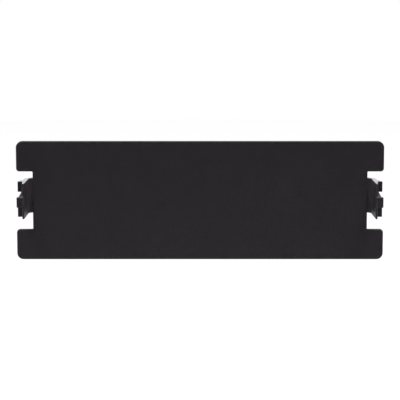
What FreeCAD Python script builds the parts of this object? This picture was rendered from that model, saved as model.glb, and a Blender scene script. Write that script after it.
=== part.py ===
import FreeCAD, Part
import os
from math import pi

import Sketcher

# Blank plate that closes one opening of a fibre panel: a flat moulded face with a U-shaped snap latch
# at each end. The origin is the centre of the rear seating face. +X is along the plate, +Y goes into
# the panel and +Z is up.

# Driving dimensions in millimetres: name, value and what it sets
SIZES = [
    ("plate_width", 117.0, "plate, end to end"),
    ("plate_height", 37.9, "plate, bottom to top"),
    ("plate_thickness", 1.6, "plate, front to rear"),
    ("corner_radius", 2.0, "outer corners of the plate"),
    ("notch_height", 18.6, "end notch that the latch comes through"),
    ("notch_depth", 5.2, "end notch, from the plate's end inwards"),
    ("tab_corner_radius", 1.0, "plate corners beside each notch"),
    ("notch_root_radius", 0.3, "inner corners of each notch"),
    ("front_edge_radius", 0.3, "rounding around the front face"),
    ("latch_height", 11.4, "spring strip, bottom to top"),
    ("strip_thickness", 1.5, "spring strip"),
    ("leg_offset", 2.55, "notch's inner edge to the outer leg"),
    ("leg_gap", 5.5, "space between the two legs of the spring"),
    ("leg_length", 9.9, "rear face to the start of the bend"),
    ("root_radius", 0.8, "fillet where the spring stands on the plate"),
    ("sheet_gap", 1.7, "rear face to the catch faces, for the panel's sheet"),
    ("tab_step", 0.45, "step from the outer leg down to the finger tab"),
    ("tab_reach", 2.3, "finger tab, ahead of the front face"),
    ("tab_tip_radius", 0.3, "round end of the finger tab"),
    ("tooth_height", 3.3, "catch tooth, bottom to top"),
    ("tooth_land", 0.9, "flat crest of a tooth, behind its catch face"),
    ("tooth_length", 4.7, "catch face to the end of the lead-in ramp"),
    ("tooth_radius", 0.3, "rounding of a tooth's crest"),
    ("grip_height", 3.2, "finger grip between the teeth"),
    ("grip_reach", 5.4, "finger grip, ahead of the front face"),
    ("grip_pad_offset", 4.6, "notch's inner edge to the crest of the grip's pad"),
    ("grip_pad_length", 1.4, "crest of the grip's pad, front to rear"),
    ("grip_waist_offset", 4.15, "notch's inner edge to the hollow behind the pad"),
    ("grip_waist_reach", 3.4, "hollow behind the pad, ahead of the front face"),
    ("grip_crest_offset", 4.65, "notch's inner edge to the rear crest of the grip"),
    ("grip_crest_depth", 5.4, "rear face to the rear crest of the grip"),
    ("grip_end_depth", 7.4, "rear face to the rear end of the grip"),
    ("grip_radius", 0.4, "rounding of the grip's nose, pad and hollow"),
    ("latch_bevel", 0.08, "broken edges of the spring strip, the teeth and the grip"),
    ("rib_span", 92.0, "locating rib on the rear, end to end"),
    ("rib_spacing", 29.0, "centre to centre of the two locating ribs"),
    ("rib_thickness", 1.2, "locating rib"),
    ("rib_depth", 2.5, "locating rib, into the panel's opening"),
    ("rib_draft", 1.0, "draft of the locating ribs, in degrees"),
    ("rib_radius", 0.3, "rounding along the top of the locating ribs"),
    ("pin_mark_diameter", 4.0, "ejector pin marks on the rear"),
    ("pin_mark_depth", 0.15, "ejector pin marks on the rear"),
    ("pin_mark_spread", 36.0, "ejector pin marks, from the middle to each side"),
    ("pin_mark_rise", 9.5, "ejector pin marks, above and below the middle"),
]
SIZE = {name: value for name, value, _ in SIZES}
NODE = "blank_plate"
START, END, CENTRE = 1, 2, 3
ORIGIN = (-1, START)
NEAR = 1e-3

# Places that several outlines share, with the formulas that hold them
HALF_WIDTH = SIZE["plate_width"] / 2
HALF_LATCH = SIZE["latch_height"] / 2
FRONT = -SIZE["plate_thickness"]
NOTCH_EDGE = HALF_WIDTH - SIZE["notch_depth"]
NOTCH_EDGE_FORMULA = "Sizes.plate_width / 2 - Sizes.notch_depth"
LEG_INSIDE = NOTCH_EDGE + SIZE["leg_offset"]
LEG_INSIDE_FORMULA = f"{NOTCH_EDGE_FORMULA} + Sizes.leg_offset"
LEG_OUTSIDE = LEG_INSIDE + SIZE["strip_thickness"]
LEG_OUTSIDE_FORMULA = f"{LEG_INSIDE_FORMULA} + Sizes.strip_thickness"
INNER_LEG = LEG_INSIDE - SIZE["leg_gap"]
INNER_LEG_BACK = INNER_LEG - SIZE["strip_thickness"]


def make_sheet(doc):
    """The driving dimensions as a spreadsheet, one alias for each."""
    sheet = doc.addObject("Spreadsheet::Sheet", "Sizes")
    for row, (name, value, meaning) in enumerate(SIZES, start=1):
        sheet.set(f"A{row}", name)
        sheet.set(f"B{row}", str(value))
        sheet.set(f"C{row}", meaning)
        sheet.setAlias(f"B{row}", name)
    doc.recompute()


def origin_plane(body, role):
    return next(plane for plane in body.Origin.OriginFeatures if plane.Role == role)


def new_sketch(body, role, name):
    sketch = body.newObject("Sketcher::SketchObject", name)
    sketch.AttachmentSupport = [(origin_plane(body, role), "")]
    sketch.MapMode = "FlatFace"
    return sketch


def point(x, y):
    return FreeCAD.Vector(x, y, 0)


def arc(centre, radius, start, end):
    return Part.ArcOfCircle(Part.Circle(centre, FreeCAD.Vector(0, 0, 1), radius), start, end)


def draw_polygon(sketch, corners):
    """Draw a closed run of lines. A side that starts level or upright is held so."""
    sides = len(corners)
    for side in range(sides):
        start = corners[side]
        end = corners[(side + 1) % sides]
        sketch.addGeometry(Part.LineSegment(start, end))
        if abs(start.y - end.y) < NEAR:
            sketch.addConstraint(Sketcher.Constraint("Horizontal", side))
        elif abs(start.x - end.x) < NEAR:
            sketch.addConstraint(Sketcher.Constraint("Vertical", side))
    for side in range(sides):
        join(sketch, "Coincident", (side, END), ((side + 1) % sides, START))


def join(sketch, kind, first, second):
    sketch.addConstraint(Sketcher.Constraint(kind, *first, *second))


def drive(sketch, kind, places, name, formula, value):
    """Add a dimension to a sketch and bind it to the sheet. The value only starts the solver."""
    index = sketch.addConstraint(Sketcher.Constraint(kind, *places, value))
    sketch.renameConstraint(index, name)
    sketch.setExpression(f"Constraints.{name}", formula)


def across(sketch, first, second, name, formula, value):
    drive(sketch, "DistanceX", first + second, name, formula, value)


def along(sketch, first, second, name, formula, value):
    drive(sketch, "DistanceY", first + second, name, formula, value)


def bind(feature, **formulas):
    for name, formula in formulas.items():
        feature.setExpression(name, formula)


def add_pad(body, sketch, name, length, symmetric=False, backwards=False):
    pad = body.newObject("PartDesign::Pad", name)
    pad.Profile = sketch
    pad.SideType = "Symmetric" if symmetric else "One side"
    pad.Reversed = backwards
    bind(pad, Length=length)
    return pad


def add_pocket(body, sketch, name, length, backwards=False):
    pocket = body.newObject("PartDesign::Pocket", name)
    pocket.Profile = sketch
    pocket.Reversed = backwards
    bind(pocket, Length=length)
    return pocket


def add_mirror(body, name, originals, role):
    mirror = body.newObject("PartDesign::Mirrored", name)
    mirror.Originals = originals
    mirror.MirrorPlane = (origin_plane(body, role), [""])
    body.Tip = mirror
    return mirror


def wanted_edges(doc, body, name, wanted):
    """Every edge of the body so far that passes the test, in the form that an edge feature takes."""
    doc.recompute()
    base = body.Tip
    edges = [f"Edge{i}" for i, edge in enumerate(base.Shape.Edges, start=1) if wanted(edge)]
    if not edges:
        raise RuntimeError(f"{name} finds no edge")
    return base, edges


def add_fillet(doc, body, name, radius, wanted):
    edges = wanted_edges(doc, body, name, wanted)
    fillet = body.newObject("PartDesign::Fillet", name)
    fillet.Base = edges
    bind(fillet, Radius=radius)


def add_chamfer(doc, body, name, size, wanted):
    edges = wanted_edges(doc, body, name, wanted)
    chamfer = body.newObject("PartDesign::Chamfer", name)
    chamfer.Base = edges
    bind(chamfer, Size=size)


def near(value, target):
    return abs(value - target) < NEAR


def runs_along_y(edge):
    box = edge.BoundBox
    return near(box.XLength, 0) and near(box.ZLength, 0)


def runs_along_z(edge):
    box = edge.BoundBox
    return near(box.XLength, 0) and near(box.YLength, 0)


def level_at(edge, z):
    """True for an edge that lies at one height, above or below the middle."""
    box = edge.BoundBox
    return near(box.ZLength, 0) and near(abs(box.Center.z), z)


def at_depth(edge, y):
    box = edge.BoundBox
    return near(box.YLength, 0) and near(box.Center.y, y)


def middle(edge):
    """The middle of an edge, folded into the upper right quarter of the plate."""
    place = edge.valueAt((edge.FirstParameter + edge.LastParameter) / 2)
    return FreeCAD.Vector(abs(place.x), place.y, abs(place.z))


def plate_corner(x, z):
    """A test for the edges through the plate at a distance from the middle in X and in Z."""
    def wanted(edge):
        return runs_along_y(edge) and near(middle(edge).x, x) and near(middle(edge).z, z)
    return wanted


def make_plate(doc, body):
    """The flat face with its two end notches and rounded corners."""
    half_height = SIZE["plate_height"] / 2
    half_notch = SIZE["notch_height"] / 2

    face = new_sketch(body, "XZ_Plane", "FaceOutline")
    draw_polygon(face, [point(-HALF_WIDTH, -half_height), point(HALF_WIDTH, -half_height),
                        point(HALF_WIDTH, half_height), point(-HALF_WIDTH, half_height)])
    face.addConstraint(Sketcher.Constraint("Symmetric", 0, START, 2, START, *ORIGIN))
    across(face, (0, START), (0, END), "width", "Sizes.plate_width", SIZE["plate_width"])
    along(face, (1, START), (1, END), "height", "Sizes.plate_height", SIZE["plate_height"])
    add_pad(body, face, "Plate", "Sizes.plate_thickness")

    notch = new_sketch(body, "XZ_Plane", "NotchOutline")
    draw_polygon(notch, [point(NOTCH_EDGE, -half_notch), point(HALF_WIDTH, -half_notch),
                         point(HALF_WIDTH, half_notch), point(NOTCH_EDGE, half_notch)])
    across(notch, ORIGIN, (0, START), "inner_edge", NOTCH_EDGE_FORMULA, NOTCH_EDGE)
    across(notch, ORIGIN, (0, END), "outer_edge", "Sizes.plate_width / 2", HALF_WIDTH)
    along(notch, (0, START), ORIGIN, "lower_edge", "Sizes.notch_height / 2", half_notch)
    along(notch, ORIGIN, (2, START), "upper_edge", "Sizes.notch_height / 2", half_notch)
    right_notch = add_pocket(body, notch, "RightNotch", "Sizes.plate_thickness", backwards=True)
    add_mirror(body, "LeftNotch", [right_notch], "YZ_Plane")

    add_fillet(doc, body, "OuterCorners", "Sizes.corner_radius", plate_corner(HALF_WIDTH, half_height))
    add_fillet(doc, body, "TabCorners", "Sizes.tab_corner_radius", plate_corner(HALF_WIDTH, half_notch))
    add_fillet(doc, body, "NotchRoots", "Sizes.notch_root_radius", plate_corner(NOTCH_EDGE, half_notch))


def draw_strip(body):
    """Section of the spring seen from above: inner leg, half-round bend, outer leg and thin finger tab."""
    bend_radius = SIZE["leg_gap"] / 2
    bend_centre = point(LEG_INSIDE - bend_radius, SIZE["leg_length"])
    foot = FRONT / 2
    catch = SIZE["sheet_gap"]
    tab_outside = LEG_OUTSIDE - SIZE["tab_step"]
    tip_radius = SIZE["tab_tip_radius"]
    tip_centre = point(LEG_INSIDE + tip_radius, FRONT - SIZE["tab_reach"] + tip_radius)

    sketch = new_sketch(body, "XY_Plane", "StripProfile")
    back, bend_out, outer, step, taper, tip, inner, bend_in, front, root = range(10)
    sketch.addGeometry([
        Part.LineSegment(point(INNER_LEG_BACK, foot), point(INNER_LEG_BACK, bend_centre.y)),
        arc(bend_centre, bend_radius + SIZE["strip_thickness"], 0, pi),
        Part.LineSegment(point(LEG_OUTSIDE, bend_centre.y), point(LEG_OUTSIDE, catch)),
        Part.LineSegment(point(LEG_OUTSIDE, catch), point(tab_outside, catch)),
        Part.LineSegment(point(tab_outside, catch), tip_centre + point(tip_radius, 0)),
        arc(tip_centre, tip_radius, pi, 2 * pi),
        Part.LineSegment(tip_centre - point(tip_radius, 0), point(LEG_INSIDE, bend_centre.y)),
        arc(bend_centre, bend_radius, 0, pi),
        Part.LineSegment(point(INNER_LEG, bend_centre.y), point(INNER_LEG, foot)),
        Part.LineSegment(point(INNER_LEG, foot), point(INNER_LEG_BACK, foot)),
    ])
    for line in (back, outer, inner, front):
        sketch.addConstraint(Sketcher.Constraint("Vertical", line))
    for line in (step, root):
        sketch.addConstraint(Sketcher.Constraint("Horizontal", line))
    for first, second in (((back, END), (bend_out, END)), ((bend_out, START), (outer, START)),
                          ((taper, END), (tip, END)), ((tip, START), (inner, START)),
                          ((inner, END), (bend_in, START)), ((bend_in, END), (front, START))):
        join(sketch, "Tangent", first, second)
    for first, second in (((outer, END), (step, START)), ((step, END), (taper, START)),
                          ((front, END), (root, START)), ((root, END), (back, START)),
                          ((bend_out, CENTRE), (bend_in, CENTRE))):
        join(sketch, "Coincident", first, second)

    across(sketch, ORIGIN, (inner, END), "leg_place", LEG_INSIDE_FORMULA, LEG_INSIDE)
    across(sketch, (front, START), (inner, END), "leg_gap", "Sizes.leg_gap", SIZE["leg_gap"])
    across(sketch, (inner, END), (outer, START), "thickness", "Sizes.strip_thickness",
           SIZE["strip_thickness"])
    across(sketch, (step, END), (step, START), "tab_step", "Sizes.tab_step", SIZE["tab_step"])
    along(sketch, ORIGIN, (bend_in, CENTRE), "leg_length", "Sizes.leg_length", SIZE["leg_length"])
    along(sketch, ORIGIN, (step, START), "sheet_gap", "Sizes.sheet_gap", SIZE["sheet_gap"])
    along(sketch, (root, START), ORIGIN, "foot", "Sizes.plate_thickness / 2", -foot)
    along(sketch, (tip, CENTRE), ORIGIN, "tab_reach",
          "Sizes.plate_thickness + Sizes.tab_reach - Sizes.tab_tip_radius", -tip_centre.y)
    drive(sketch, "Radius", (tip,), "tip_radius", "Sizes.tab_tip_radius", tip_radius)
    return sketch


def draw_tooth(body):
    """Section of a catch tooth seen from above: square catch face, short crest and lead-in ramp."""
    within = LEG_OUTSIDE - SIZE["strip_thickness"] / 2
    catch = SIZE["sheet_gap"]
    crest_end = catch + SIZE["tooth_land"]
    ramp_end = catch + SIZE["tooth_length"]

    sketch = new_sketch(body, "XY_Plane", "ToothProfile")
    bind(sketch, **{"AttachmentOffset.Base.z": "Sizes.latch_height / 2 - Sizes.tooth_height"})
    draw_polygon(sketch, [point(within, catch), point(HALF_WIDTH, catch), point(HALF_WIDTH, crest_end),
                          point(LEG_OUTSIDE, ramp_end), point(within, ramp_end)])
    across(sketch, ORIGIN, (0, START), "within_leg",
           f"{LEG_OUTSIDE_FORMULA} - Sizes.strip_thickness / 2", within)
    across(sketch, ORIGIN, (0, END), "crest", "Sizes.plate_width / 2", HALF_WIDTH)
    across(sketch, ORIGIN, (2, END), "leg_outside", LEG_OUTSIDE_FORMULA, LEG_OUTSIDE)
    along(sketch, ORIGIN, (0, START), "catch_face", "Sizes.sheet_gap", catch)
    along(sketch, (1, START), (1, END), "land", "Sizes.tooth_land", SIZE["tooth_land"])
    along(sketch, (0, START), (3, END), "length", "Sizes.tooth_length", SIZE["tooth_length"])
    return sketch


def draw_grip(body):
    """Section of the finger grip seen from above: pad at the front, hollow, low rib along the leg."""
    pad = NOTCH_EDGE + SIZE["grip_pad_offset"]
    waist = NOTCH_EDGE + SIZE["grip_waist_offset"]
    crest = NOTCH_EDGE + SIZE["grip_crest_offset"]
    nose = FRONT - SIZE["grip_reach"]
    hollow = FRONT - SIZE["grip_waist_reach"]
    end = SIZE["grip_end_depth"]

    sketch = new_sketch(body, "XY_Plane", "GripProfile")
    draw_polygon(sketch, [point(LEG_INSIDE, nose), point(pad, nose),
                          point(pad, nose + SIZE["grip_pad_length"]), point(waist, hollow),
                          point(crest, SIZE["grip_crest_depth"]),
                          point(LEG_OUTSIDE, end), point(LEG_INSIDE, end)])
    across(sketch, ORIGIN, (0, START), "inside", LEG_INSIDE_FORMULA, LEG_INSIDE)
    across(sketch, ORIGIN, (0, END), "pad", f"{NOTCH_EDGE_FORMULA} + Sizes.grip_pad_offset", pad)
    across(sketch, ORIGIN, (2, END), "waist", f"{NOTCH_EDGE_FORMULA} + Sizes.grip_waist_offset", waist)
    across(sketch, ORIGIN, (3, END), "crest", f"{NOTCH_EDGE_FORMULA} + Sizes.grip_crest_offset", crest)
    across(sketch, ORIGIN, (4, END), "outside", LEG_OUTSIDE_FORMULA, LEG_OUTSIDE)
    along(sketch, (0, START), ORIGIN, "nose", "Sizes.plate_thickness + Sizes.grip_reach", -nose)
    along(sketch, (1, START), (1, END), "pad_length", "Sizes.grip_pad_length", SIZE["grip_pad_length"])
    along(sketch, (2, END), ORIGIN, "hollow", "Sizes.plate_thickness + Sizes.grip_waist_reach", -hollow)
    along(sketch, ORIGIN, (3, END), "crest_depth", "Sizes.grip_crest_depth", SIZE["grip_crest_depth"])
    along(sketch, ORIGIN, (4, END), "end_depth", "Sizes.grip_end_depth", end)
    return sketch


def make_latches(doc, body):
    """The right latch, its teeth mirrored up and down, and all of it mirrored to the left end."""
    strip = add_pad(body, draw_strip(body), "SpringStrip", "Sizes.latch_height", symmetric=True)
    grip = add_pad(body, draw_grip(body), "FingerGrip", "Sizes.grip_height", symmetric=True)
    tooth = add_pad(body, draw_tooth(body), "UpperTooth", "Sizes.tooth_height")

    four_teeth = body.newObject("PartDesign::MultiTransform", "FourTeeth")
    four_teeth.Originals = [tooth]
    lower = body.newObject("PartDesign::Mirrored", "LowerTooth")
    lower.MirrorPlane = (origin_plane(body, "XY_Plane"), [""])
    other_end = body.newObject("PartDesign::Mirrored", "OtherEndTeeth")
    other_end.MirrorPlane = (origin_plane(body, "YZ_Plane"), [""])
    four_teeth.Transformations = [lower, other_end]
    body.Tip = four_teeth
    doc.recompute()
    add_mirror(body, "LeftSpring", [strip, grip], "YZ_Plane")


def make_rear(doc, body):
    """Two long ribs that sit inside the panel's opening, and the marks of the ejector pins."""
    half_span = (SIZE["rib_span"] - SIZE["rib_thickness"]) / 2
    half_rib = SIZE["rib_thickness"] / 2
    rise = SIZE["rib_spacing"] / 2

    rib = new_sketch(body, "XZ_Plane", "RibOutline")
    right_end, left_end, top, bottom = range(4)
    rib.addGeometry([
        arc(point(half_span, rise), half_rib, -pi / 2, pi / 2),
        arc(point(-half_span, rise), half_rib, pi / 2, 3 * pi / 2),
        Part.LineSegment(point(half_span, rise + half_rib), point(-half_span, rise + half_rib)),
        Part.LineSegment(point(-half_span, rise - half_rib), point(half_span, rise - half_rib)),
    ])
    for first, second in (((right_end, END), (top, START)), ((top, END), (left_end, START)),
                          ((left_end, END), (bottom, START)), ((bottom, END), (right_end, START))):
        join(rib, "Tangent", first, second)
    for line in (top, bottom):
        rib.addConstraint(Sketcher.Constraint("Horizontal", line))
    drive(rib, "Radius", (right_end,), "half_thickness", "Sizes.rib_thickness / 2", half_rib)
    half_span_formula = "(Sizes.rib_span - Sizes.rib_thickness) / 2"
    across(rib, ORIGIN, (right_end, CENTRE), "right_end", half_span_formula, half_span)
    across(rib, (left_end, CENTRE), ORIGIN, "left_end", half_span_formula, half_span)
    along(rib, ORIGIN, (right_end, CENTRE), "rise", "Sizes.rib_spacing / 2", rise)
    upper_rib = add_pad(body, rib, "UpperRib", "Sizes.rib_depth", backwards=True)
    bind(upper_rib, TaperAngle="-Sizes.rib_draft")
    add_mirror(body, "LowerRib", [upper_rib], "XY_Plane")
    doc.recompute()

    marks = new_sketch(body, "XZ_Plane", "PinMarks")
    spread = SIZE["pin_mark_spread"]
    mark_rise = SIZE["pin_mark_rise"]
    diameter = SIZE["pin_mark_diameter"]
    for index, (side, level) in enumerate(((1, 1), (-1, 1), (-1, -1), (1, -1))):
        centre = point(side * spread, level * mark_rise)
        marks.addGeometry(Part.Circle(centre, FreeCAD.Vector(0, 0, 1), diameter / 2))
        sideways = (ORIGIN, (index, CENTRE)) if side > 0 else ((index, CENTRE), ORIGIN)
        upwards = (ORIGIN, (index, CENTRE)) if level > 0 else ((index, CENTRE), ORIGIN)
        across(marks, *sideways, f"spread_{index}", "Sizes.pin_mark_spread", spread)
        along(marks, *upwards, f"rise_{index}", "Sizes.pin_mark_rise", mark_rise)
        drive(marks, "Diameter", (index,), f"size_{index}", "Sizes.pin_mark_diameter", diameter)
    add_pocket(body, marks, "EjectorPinMarks", "Sizes.pin_mark_depth", backwards=True)


def make_edges(doc, body):
    """The rounded and broken edges that the mould leaves on the latches, the ribs and the face."""
    tab_outside = LEG_OUTSIDE - SIZE["tab_step"]
    tab_tip = FRONT - SIZE["tab_reach"]
    hollow = FRONT - SIZE["grip_waist_reach"]

    def grip_corner(edge):
        grip_high = near(edge.Length, SIZE["grip_height"])
        return runs_along_z(edge) and grip_high and middle(edge).y < hollow + NEAR

    def tooth_crest(edge):
        return runs_along_z(edge) and near(middle(edge).x, HALF_WIDTH) and middle(edge).y > NEAR

    def strip_outline(edge):
        return level_at(edge, HALF_LATCH) and not at_depth(edge, 0)

    def grip_outline(edge):
        place = middle(edge)
        ahead_of_tab = place.y < tab_tip - NEAR
        beside_tab = place.x > tab_outside + NEAR and place.y < SIZE["sheet_gap"] - NEAR
        return level_at(edge, SIZE["grip_height"] / 2) and (ahead_of_tab or beside_tab)

    def tooth_outline(edge):
        return level_at(edge, HALF_LATCH - SIZE["tooth_height"]) and middle(edge).x > LEG_OUTSIDE + NEAR

    def latch_root(edge):
        place = middle(edge)
        at_inner_leg = INNER_LEG_BACK - NEAR < place.x < INNER_LEG + NEAR
        return at_depth(edge, 0) and at_inner_leg and place.z < HALF_LATCH + NEAR

    def rib_top(edge):
        return at_depth(edge, SIZE["rib_depth"])

    def front_edge(edge):
        return at_depth(edge, FRONT)

    add_fillet(doc, body, "GripCorners", "Sizes.grip_radius", grip_corner)
    add_fillet(doc, body, "ToothCrests", "Sizes.tooth_radius", tooth_crest)
    add_chamfer(doc, body, "StripBevel", "Sizes.latch_bevel", strip_outline)
    add_chamfer(doc, body, "GripBevel", "Sizes.latch_bevel", grip_outline)
    add_chamfer(doc, body, "ToothBevel", "Sizes.latch_bevel", tooth_outline)
    add_fillet(doc, body, "LatchRoots", "Sizes.root_radius", latch_root)
    add_fillet(doc, body, "RibTops", "Sizes.rib_radius", rib_top)
    add_fillet(doc, body, "FrontEdge", "Sizes.front_edge_radius", front_edge)


def check(doc, body):
    """Stop if any object failed, a sketch is loose or the solid isn't sound."""
    for thing in doc.Objects:
        if {"Invalid", "Error"} & set(thing.State):
            raise RuntimeError(f"{thing.Name} failed: {thing.State}")
        if thing.isDerivedFrom("Sketcher::SketchObject") and not thing.FullyConstrained:
            raise RuntimeError(f"{thing.Name} isn't fully constrained")
    if body.Shape.isNull() or not body.Shape.isValid() or len(body.Shape.Solids) != 1:
        raise RuntimeError("the plate isn't one sound solid")


def main():
    doc = FreeCAD.newDocument("BlankPlate")
    make_sheet(doc)
    body = doc.addObject("PartDesign::Body", "BlankPlate")
    body.Label = NODE
    make_plate(doc, body)
    make_latches(doc, body)
    make_rear(doc, body)
    make_edges(doc, body)
    doc.recompute()
    check(doc, body)
    os.makedirs("parts", exist_ok=True)
    body.Shape.exportStep(f"parts/{body.Label}.step")
    box = body.Shape.optimalBoundingBox()
    print(f"{NODE}: {body.Shape.Volume:.1f} mm3, X {box.XMin:.2f}..{box.XMax:.2f}, "
          f"Y {box.YMin:.2f}..{box.YMax:.2f}, Z {box.ZMin:.2f}..{box.ZMax:.2f}")


main()
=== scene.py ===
import bpy
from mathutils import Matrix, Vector


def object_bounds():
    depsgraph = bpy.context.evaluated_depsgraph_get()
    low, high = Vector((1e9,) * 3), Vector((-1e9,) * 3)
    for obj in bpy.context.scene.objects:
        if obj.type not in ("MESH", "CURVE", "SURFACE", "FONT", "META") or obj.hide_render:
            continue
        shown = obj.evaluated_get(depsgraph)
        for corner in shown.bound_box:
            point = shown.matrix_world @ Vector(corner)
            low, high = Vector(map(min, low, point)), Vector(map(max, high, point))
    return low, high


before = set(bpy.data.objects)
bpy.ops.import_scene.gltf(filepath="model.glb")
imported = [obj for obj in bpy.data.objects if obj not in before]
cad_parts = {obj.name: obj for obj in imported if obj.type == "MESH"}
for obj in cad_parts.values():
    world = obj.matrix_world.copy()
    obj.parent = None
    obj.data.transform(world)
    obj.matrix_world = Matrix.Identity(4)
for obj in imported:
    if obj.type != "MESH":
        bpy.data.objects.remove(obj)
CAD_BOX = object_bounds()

bl_info = {
    "name": "Fibre Panel Blank Plate",
    "version": (1, 0, 0),
    "blender": (4, 5, 0),
    "location": "3D View > Sidebar > Blank Plate",
    "description": "Finishes the moulded blank plate and sets up the studio around it",
    "category": "Object",
}

PLATE_NODE = "blank_plate"
MM = 0.001

# Sizes of the plate, its end notches and the latches that come through them, as the part has them
PLATE_THICKNESS = 1.6 * MM
PIN_MARK_DEPTH = 0.15 * MM
RIB_DEPTH = 2.5 * MM
NOTCH_DEPTH = 5.2 * MM
NOTCH_HEIGHT = 18.6 * MM
LATCH_HEIGHT = 11.4 * MM
LATCH_BEVEL = 0.08 * MM
STRIP_THICKNESS = 1.5 * MM
LEG_OFFSET = 2.55 * MM
LEG_GAP = 5.5 * MM
LEG_LENGTH = 9.9 * MM
GRIP_HEIGHT = 3.2 * MM
GRIP_END_DEPTH = 7.4 * MM

# Places that follow from them, with the ends of the plate taken from the frame
PLATE_END = CAD_BOX[1][0]
NOTCH_EDGE = PLATE_END - NOTCH_DEPTH
NOTCH_TOP = NOTCH_HEIGHT / 2
LATCH_TOP = LATCH_HEIGHT / 2
GRIP_TOP = GRIP_HEIGHT / 2
LEG_INSIDE = NOTCH_EDGE + LEG_OFFSET
LEG_OUTSIDE = LEG_INSIDE + STRIP_THICKNESS
BEND_RADIUS = LEG_GAP / 2
BEND_CENTRE = LEG_INSIDE - BEND_RADIUS

# Inputs of a Mix node that mixes colours, by number, because their names repeat
MIX_FACTOR, MIX_FIRST, MIX_SECOND = 0, 6, 7

# The mean of a noise, which is also half way between two mixed colours
MIDDLE = 0.5
WHITE = (1.0, 1.0, 1.0, 1.0)
FLOOR_CORNERS = 128


class PlateFinish(bpy.types.PropertyGroup):
    """Colours and textures of the plate's moulded plastic."""

    deep_colour: bpy.props.FloatVectorProperty(
        name="Deep Colour", description="Darkest tone of the charcoal plastic",
        default=(0.0205, 0.0177, 0.0209), subtype="COLOR", min=0.0, max=1.0)
    pale_colour: bpy.props.FloatVectorProperty(
        name="Pale Colour", description="Lightest tone of the charcoal plastic",
        default=(0.0267, 0.0230, 0.0271), subtype="COLOR", min=0.0, max=1.0)
    cloud_size: bpy.props.FloatProperty(
        name="Cloud Size", description="Width of the faint clouds where the plastic flowed into the mould",
        default=17 * MM, unit="LENGTH", precision=6)
    cloud_contrast: bpy.props.FloatProperty(
        name="Cloud Contrast", description="How far the clouds go between the two colours",
        default=0.8, subtype="FACTOR", min=0.0, max=1.0)
    speckle_size: bpy.props.FloatProperty(
        name="Speckle Size", description="Width of the fine speckle on the face",
        default=0.5 * MM, unit="LENGTH", precision=6)
    speckle_contrast: bpy.props.FloatProperty(
        name="Speckle Contrast", description="How far the speckle goes between the two colours",
        default=0.5, subtype="FACTOR", min=0.0, max=1.0)
    face_roughness: bpy.props.FloatProperty(
        name="Face Roughness", description="Roughness of the textured face",
        default=0.50, subtype="FACTOR", min=0.0, max=1.0)
    skin_roughness: bpy.props.FloatProperty(
        name="Skin Roughness", description="Roughness of the smoother skin of the latches and the rear",
        default=0.24, subtype="FACTOR", min=0.0, max=1.0)
    uneven_roughness: bpy.props.FloatProperty(
        name="Uneven Roughness", description="How far the roughness follows the clouds and the speckle",
        default=0.11, subtype="FACTOR", min=0.0, max=1.0)
    latch_texture: bpy.props.FloatProperty(
        name="Latch Texture", description="Share of the face's texture in the latches and on the grips",
        default=0.85, subtype="FACTOR", min=0.0, max=1.0)
    specular: bpy.props.FloatProperty(
        name="Specular", description="Strength of the matte plastic's reflection, 0.5 for clear plastic",
        default=0.06, subtype="FACTOR", min=0.0, max=1.0)
    skin_gloss: bpy.props.FloatProperty(
        name="Skin Gloss", description="Strength of the faint polish on the rear and on the latches",
        default=0.22, subtype="FACTOR", min=0.0, max=1.0)
    edge_gloss: bpy.props.FloatProperty(
        name="Edge Gloss", description="Strength of the polish on the latches' upper and lower edges",
        default=1.0, subtype="FACTOR", min=0.0, max=1.0)
    gloss_roughness: bpy.props.FloatProperty(
        name="Gloss Roughness", description="Roughness of the polish",
        default=0.20, subtype="FACTOR", min=0.0, max=1.0)
    dome_size: bpy.props.FloatProperty(
        name="Dome Size", description="Width of the small domes that a spark-eroded mould leaves",
        default=0.22 * MM, unit="LENGTH", precision=6)
    dome_blend: bpy.props.FloatProperty(
        name="Dome Blend", description="How softly the small domes run into each other",
        default=0.6, subtype="FACTOR", min=0.0, max=1.0)
    dome_height: bpy.props.FloatProperty(
        name="Dome Height", description="Height of the small domes",
        default=0.02 * MM, unit="LENGTH", precision=6)
    ripple_size: bpy.props.FloatProperty(
        name="Ripple Size", description="Length of the slow ripples in the moulded skin",
        default=3.2 * MM, unit="LENGTH", precision=6)
    ripple_height: bpy.props.FloatProperty(
        name="Ripple Height", description="Height of the slow ripples in the moulded skin",
        default=0.008 * MM, unit="LENGTH", precision=6)
    line_size: bpy.props.FloatProperty(
        name="Tool Line Size", description="Spacing of the mould's tool lines on the latches and the rear",
        default=0.18 * MM, unit="LENGTH", precision=6)
    line_length: bpy.props.FloatProperty(
        name="Tool Line Length", description="Length of the tool lines, which run along the mould's draw",
        default=4.5 * MM, unit="LENGTH", precision=6)
    line_height: bpy.props.FloatProperty(
        name="Tool Line Height", description="Height of the tool lines",
        default=0.0016 * MM, unit="LENGTH", precision=6)


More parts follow.
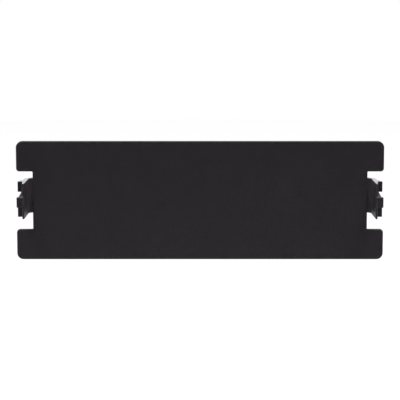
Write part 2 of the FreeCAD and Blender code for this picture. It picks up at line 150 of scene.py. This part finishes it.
class StudioSet(bpy.types.PropertyGroup):
    """The camera, the floor and the lights."""

    eye_ahead: bpy.props.FloatProperty(
        name="Eye Ahead", description="Distance of the camera in front of the plate's face",
        default=0.500, unit="LENGTH")
    eye_above: bpy.props.FloatProperty(
        name="Eye Above", description="Height of the camera above the point that it looks at",
        default=0.064, unit="LENGTH")
    aim_above: bpy.props.FloatProperty(
        name="Aim Above", description="Height of the point that the camera looks at, above the middle",
        default=0.19 * MM, unit="LENGTH", precision=6)
    view_width: bpy.props.FloatProperty(
        name="View Width", description="Width of the picture at the plate",
        default=0.12747, unit="LENGTH", precision=5)
    floor_drop: bpy.props.FloatProperty(
        name="Floor Drop", description="Height of the held plate above the floor",
        default=0.130, unit="LENGTH")
    floor_radius: bpy.props.FloatProperty(
        name="Floor Radius", description="Radius of the round floor",
        default=1.1, unit="LENGTH")
    floor_ahead: bpy.props.FloatProperty(
        name="Floor Ahead", description="How far the floor reaches in front of the plate",
        default=0.16, unit="LENGTH")
    floor_colour: bpy.props.FloatVectorProperty(
        name="Floor Colour", description="Colour of the floor",
        default=(0.9, 0.9, 0.9), subtype="COLOR", min=0.0, max=1.0)
    floor_white: bpy.props.FloatProperty(
        name="Floor White", description="Share of plain white in the floor where it is seen or mirrored",
        default=0.96, subtype="FACTOR", min=0.0, max=1.0)
    ambient: bpy.props.FloatProperty(
        name="Ambient", description="Brightness of the studio around the plate",
        default=0.09, subtype="FACTOR", min=0.0, max=1.0)
    backdrop_blend: bpy.props.FloatProperty(
        name="Backdrop Blend", description="How softly the mirrored white ends beside the plate",
        default=0.25, subtype="FACTOR", min=0.0, max=1.0)
    key_place: bpy.props.FloatVectorProperty(
        name="Key Place", description="Place of the soft box behind the camera",
        default=(-0.04, -2.40, 0.31), subtype="TRANSLATION", unit="LENGTH")
    key_size: bpy.props.FloatProperty(
        name="Key Size", description="Width of the soft box behind the camera",
        default=0.35, unit="LENGTH")
    key_power: bpy.props.FloatProperty(
        name="Key Power", description="Power of the soft box behind the camera",
        default=6.0, unit="POWER", min=0.0)
    side_place: bpy.props.FloatVectorProperty(
        name="Side Place", description="Place of the right one of two soft boxes high up beside the plate",
        default=(0.57, -0.05, 1.22), subtype="TRANSLATION", unit="LENGTH")
    side_size: bpy.props.FloatProperty(
        name="Side Size", description="Width of each soft box beside the plate",
        default=0.40, unit="LENGTH")
    side_power: bpy.props.FloatProperty(
        name="Side Power", description="Power of each soft box beside the plate",
        default=36.0, unit="POWER", min=0.0)
    rear_place: bpy.props.FloatVectorProperty(
        name="Rear Place", description="Place of the right one of two soft boxes behind the plate",
        default=(1.00, 1.20, 0.80), subtype="TRANSLATION", unit="LENGTH")
    rear_size: bpy.props.FloatProperty(
        name="Rear Size", description="Width of each soft box behind the plate",
        default=1.20, unit="LENGTH")
    rear_power: bpy.props.FloatProperty(
        name="Rear Power", description="Power of each soft box behind the plate",
        default=13.0, unit="POWER", min=0.0)


class Term:
    """A shader value in a Python expression. Each operator adds its Math node."""

    def __init__(self, graph, socket):
        self.graph = graph
        self.socket = socket

    def __add__(self, other):
        return self.graph.math("ADD", self, other)

    def __sub__(self, other):
        return self.graph.math("SUBTRACT", self, other)

    def __rsub__(self, other):
        return self.graph.math("SUBTRACT", other, self)

    def __mul__(self, other):
        return self.graph.math("MULTIPLY", self, other)

    def __abs__(self):
        return self.graph.math("ABSOLUTE", self)

    __radd__ = __add__
    __rmul__ = __mul__


class Graph:
    """The shader nodes of a material or of the world."""

    def __init__(self, owner):
        owner.use_nodes = True
        self.tree = owner.node_tree
        self.tree.nodes.clear()

    def node(self, kind, settings=(), inputs=()):
        """Add a node, its settings first and then its sockets, and give its outputs by name."""
        node = self.tree.nodes.new(kind)
        for name, value in dict(settings).items():
            setattr(node, name, value)
        for key, value in dict(inputs).items():
            if isinstance(value, Term):
                self.tree.links.new(value.socket, node.inputs[key])
            else:
                node.inputs[key].default_value = value
        return {socket.name: Term(self, socket) for socket in node.outputs if socket.enabled}

    def math(self, operation, *values):
        return self.node("ShaderNodeMath", {"operation": operation}, enumerate(values))["Value"]

    def larger(self, first, second):
        return self.math("MAXIMUM", first, second)

    def fade(self, value, start, end):
        """0 before start, 1 past end and a soft step between them."""
        return self.node("ShaderNodeMapRange", {"interpolation_type": "SMOOTHSTEP"},
                         {"Value": value, "From Min": start, "From Max": end})["Result"]

    def within(self, value, edge):
        """1 up to an edge and 0 past its bevel."""
        return 1 - self.fade(value, edge, edge + LATCH_BEVEL)

    def noise(self, place, size):
        return self.node("ShaderNodeTexNoise", {}, {"Vector": place, "Scale": 1 / size})["Fac"]

    def stretched(self, place, scale):
        return self.node("ShaderNodeMapping", {}, {"Vector": place, "Scale": scale})["Vector"]


def latch_inside(graph, across, depth, rise):
    """1 on the inside of the latches, which is no farther from the middle of a bend than its radius."""
    bend_across = across - BEND_CENTRE
    bend_depth = graph.larger(depth - LEG_LENGTH, 0.0)
    from_bend = graph.math("SQRT", bend_across * bend_across + bend_depth * bend_depth)
    return graph.within(from_bend, BEND_RADIUS) * graph.within(rise, LATCH_TOP)


def skin_shares(graph, place, finish):
    """How much of the face's texture the skin has at a place, and how much polish."""
    axes = graph.node("ShaderNodeSeparateXYZ", {}, {"Vector": place})

    # Distances from the middle, along the plate and in height, and behind the rear face
    across = abs(axes["X"])
    rise = abs(axes["Z"])
    depth = axes["Y"]

    # The smoother skin of the rear, and of the latches behind it and through the notches
    rear = graph.fade(depth, -2 * PIN_MARK_DEPTH, -PIN_MARK_DEPTH)
    behind = graph.fade(depth, RIB_DEPTH, 2 * RIB_DEPTH)
    beyond_notch = graph.fade(across, NOTCH_EDGE, LEG_INSIDE)
    within_notch = 1 - graph.fade(rise, LATCH_TOP, NOTCH_TOP)
    latch = graph.larger(beyond_notch * within_notch, behind)

    # The texture, which the latches have on their grips and their inside
    grip = beyond_notch * graph.within(rise, GRIP_TOP) * graph.within(depth, GRIP_END_DEPTH)
    inside = latch_inside(graph, across, depth, rise)
    textured = graph.larger((1 - rear) * (1 - latch), finish.latch_texture * graph.larger(grip, inside))

    # The polish, which is strongest on the level edges of the strips
    level = graph.fade(rise, LATCH_TOP - LATCH_BEVEL, LATCH_TOP)
    strip_edge = latch * level * graph.within(across, LEG_OUTSIDE)
    polish = finish.skin_gloss * (1 - textured) + (finish.edge_gloss - finish.skin_gloss) * strip_edge
    return textured, polish


def make_plastic(finish):
    """Charcoal plastic: a spark-eroded texture, and a smoother skin on the rear and the latches."""
    material = bpy.data.materials.new("charcoal_moulded_plastic")
    graph = Graph(material)
    place = graph.node("ShaderNodeTexCoord")["Object"]
    textured, polish = skin_shares(graph, place, finish)

    # The patterns of the skin
    domes = graph.node("ShaderNodeTexVoronoi", {"feature": "SMOOTH_F1"},
                       {"Vector": place, "Scale": 1 / finish.dome_size,
                        "Smoothness": finish.dome_blend})["Distance"]
    ripples = graph.noise(place, finish.ripple_size)
    clouds = graph.noise(place, finish.cloud_size) - MIDDLE
    speckle = graph.noise(place, finish.speckle_size) - MIDDLE
    along_draw = graph.stretched(place, (1.0, finish.line_size / finish.line_length, 1.0))
    lines = graph.noise(along_draw, finish.line_size)

    height = (textured * (1 - domes) * finish.dome_height + (1 - textured) * lines * finish.line_height
              + ripples * finish.ripple_height)
    skin = graph.node("ShaderNodeBump", {}, {"Strength": 1.0, "Distance": 1.0, "Height": height})["Normal"]

    tone = MIDDLE + finish.cloud_contrast * clouds + finish.speckle_contrast * speckle * textured
    colour = graph.node("ShaderNodeMix", {"data_type": "RGBA"},
                        {MIX_FACTOR: tone, MIX_FIRST: (*finish.deep_colour, 1.0),
                         MIX_SECOND: (*finish.pale_colour, 1.0)})["Result"]
    roughness = (finish.skin_roughness + (finish.face_roughness - finish.skin_roughness) * textured
                 + finish.uneven_roughness * (clouds + speckle))
    shader = graph.node("ShaderNodeBsdfPrincipled", {},
                        {"Base Color": colour, "Roughness": roughness, "Normal": skin,
                         "Coat Weight": polish, "Coat Roughness": finish.gloss_roughness,
                         "Specular IOR Level": finish.specular})["BSDF"]
    graph.node("ShaderNodeOutputMaterial", {}, {"Surface": shader})
    return material


def background_rays(graph):
    """Two switches: 1 for the camera's rays, and 1 for those that mirror or pass through something."""
    rays = graph.node("ShaderNodeLightPath")
    return rays["Is Camera Ray"], graph.larger(rays["Is Glossy Ray"], rays["Is Transmission Ray"])


def make_floor(studio):
    """A round pale floor well below the held plate and mostly behind it, with a clear underside.

    It keeps the plate's soft shadow.
    """
    bpy.ops.object.select_all(action="DESELECT")
    place = (0, studio.floor_radius - studio.floor_ahead, -studio.floor_drop)
    bpy.ops.mesh.primitive_circle_add(vertices=FLOOR_CORNERS, radius=studio.floor_radius,
                                      fill_type="NGON", location=place)
    floor = bpy.context.object
    floor.name = "studio_floor"
    material = bpy.data.materials.new("pale_floor")
    graph = Graph(material)
    seen, mirrored = background_rays(graph)
    paint = graph.node("ShaderNodeBsdfDiffuse", {}, {"Color": (*studio.floor_colour, 1.0)})["BSDF"]
    white = graph.node("ShaderNodeEmission", {}, {"Color": WHITE, "Strength": 1.0})["Emission"]
    share = studio.floor_white * graph.larger(seen, mirrored)
    top = graph.node("ShaderNodeMixShader", {}, {0: share, 1: paint, 2: white})["Shader"]
    underside = graph.node("ShaderNodeNewGeometry")["Backfacing"]
    clear = graph.node("ShaderNodeBsdfTransparent")["BSDF"]
    surface = graph.node("ShaderNodeMixShader", {}, {0: underside, 1: top, 2: clear})["Shader"]
    graph.node("ShaderNodeOutputMaterial", {}, {"Surface": surface})
    floor.data.materials.append(material)


def make_surround(studio):
    """A white surround for the camera, mirrored only from behind the plate, and dim light all round."""
    world = bpy.data.worlds.new("studio_surround")
    bpy.context.scene.world = world
    graph = Graph(world)
    seen, mirrored = background_rays(graph)
    direction = graph.node("ShaderNodeTexCoord")["Generated"]
    ahead = graph.node("ShaderNodeSeparateXYZ", {}, {"Vector": direction})["Y"]
    backdrop = graph.fade(ahead, -studio.backdrop_blend, studio.backdrop_blend)
    white = graph.larger(seen, mirrored * backdrop)
    strength = studio.ambient + (1 - studio.ambient) * white
    light = graph.node("ShaderNodeBackground", {}, {"Color": WHITE, "Strength": strength})["Background"]
    graph.node("ShaderNodeOutputWorld", {}, {"Surface": light})


def add_soft_box(name, place, size, power, mirrored=True):
    """A square soft light at a place, aimed at the plate, which may show in its reflections."""
    turn = (-Vector(place)).to_track_quat("-Z", "Y").to_euler()
    bpy.ops.object.light_add(type="AREA", location=place, rotation=turn)
    light = bpy.context.object
    light.name = name
    light.data.size = size
    light.data.energy = power
    light.visible_camera = False
    light.visible_glossy = mirrored


def place_camera(studio):
    """The photo's viewpoint: square on to the plate, from a little above its middle."""
    target = Vector((0, -PLATE_THICKNESS, studio.aim_above))
    eye = target + Vector((0, -studio.eye_ahead, studio.eye_above))
    line = target - eye
    bpy.ops.object.camera_add(location=eye, rotation=line.to_track_quat("-Z", "Y").to_euler())
    camera = bpy.context.object
    camera.data.lens = camera.data.sensor_width * line.length / studio.view_width
    bpy.context.scene.camera = camera


class BLANKPLATE_OT_finish_plate(bpy.types.Operator):
    """Give the moulded plate and its latches their charcoal plastic"""

    bl_idname = "blankplate.finish_plate"
    bl_label = "Finish the Plate"

    def execute(self, context):
        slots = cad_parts[PLATE_NODE].material_slots
        if not slots:
            raise RuntimeError("the plate has no material slot")
        plastic = make_plastic(context.scene.plate_finish)
        for slot in slots:
            slot.material = plastic
        return {"FINISHED"}


class BLANKPLATE_OT_build_studio(bpy.types.Operator):
    """Set up the floor, the white surround, the soft lights and the camera"""

    bl_idname = "blankplate.build_studio"
    bl_label = "Build the Studio"

    def execute(self, context):
        studio = context.scene.studio_set
        make_floor(studio)
        make_surround(studio)
        add_soft_box("key_soft_box", studio.key_place, studio.key_size, studio.key_power)
        for name, side in (("left", -1), ("right", 1)):
            mirror = Vector((side, 1, 1))
            add_soft_box(f"{name}_side_soft_box", mirror * studio.side_place,
                         studio.side_size, studio.side_power)
            add_soft_box(f"{name}_rear_soft_box", mirror * studio.rear_place,
                         studio.rear_size, studio.rear_power, mirrored=False)
        place_camera(studio)
        context.scene.view_settings.view_transform = "Standard"
        return {"FINISHED"}


class BLANKPLATE_PT_panel(bpy.types.Panel):
    """Sizes, colours and steps of the blank plate"""

    bl_idname = "BLANKPLATE_PT_panel"
    bl_label = "Blank Plate"
    bl_space_type = "VIEW_3D"
    bl_region_type = "UI"
    bl_category = "Blank Plate"

    def draw(self, context):
        for group, step in ((context.scene.plate_finish, BLANKPLATE_OT_finish_plate),
                            (context.scene.studio_set, BLANKPLATE_OT_build_studio)):
            box = self.layout.box()
            for name in group.__annotations__:
                box.prop(group, name)
            box.operator(step.bl_idname)


CLASSES = (PlateFinish, StudioSet, BLANKPLATE_OT_finish_plate, BLANKPLATE_OT_build_studio,
           BLANKPLATE_PT_panel)


def register():
    for entry in CLASSES:
        bpy.utils.register_class(entry)
    bpy.types.Scene.plate_finish = bpy.props.PointerProperty(type=PlateFinish)
    bpy.types.Scene.studio_set = bpy.props.PointerProperty(type=StudioSet)


def unregister():
    del bpy.types.Scene.studio_set
    del bpy.types.Scene.plate_finish
    for entry in reversed(CLASSES):
        bpy.utils.unregister_class(entry)


def main():
    register()
    bpy.ops.blankplate.finish_plate()
    bpy.ops.blankplate.build_studio()


if __name__ == "__main__":
    main()
